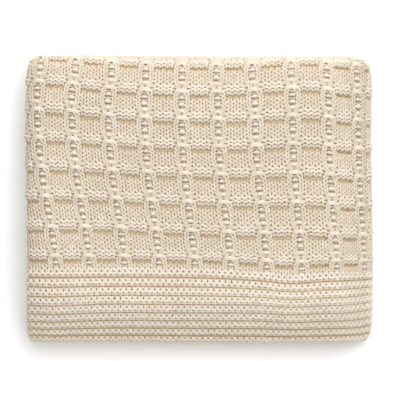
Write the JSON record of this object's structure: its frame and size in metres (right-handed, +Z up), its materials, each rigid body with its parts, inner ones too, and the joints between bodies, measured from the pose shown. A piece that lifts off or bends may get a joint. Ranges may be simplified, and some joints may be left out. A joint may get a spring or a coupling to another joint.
{
  "type": "sofa throw",
  "caption": "Cream knitted sofa throw with a cabled basket pattern and welted borders, folded into a neat flat pack.",
  "frame": {"origin": "on the supporting surface, under the middle of the folded throw's outline", "axes": "+X across the knitted columns, from the tucked folds to the plain fold; +Y from the hems to the outer fold; +Z up"},
  "size_m": [0.4052, 0.333, 0.0788],
  "materials": {
    "knit": "matte, chunky plied cotton yarn"
  },
  "bodies": {
    "root": {"throw": "knit"}
  },
  "joints": []
}
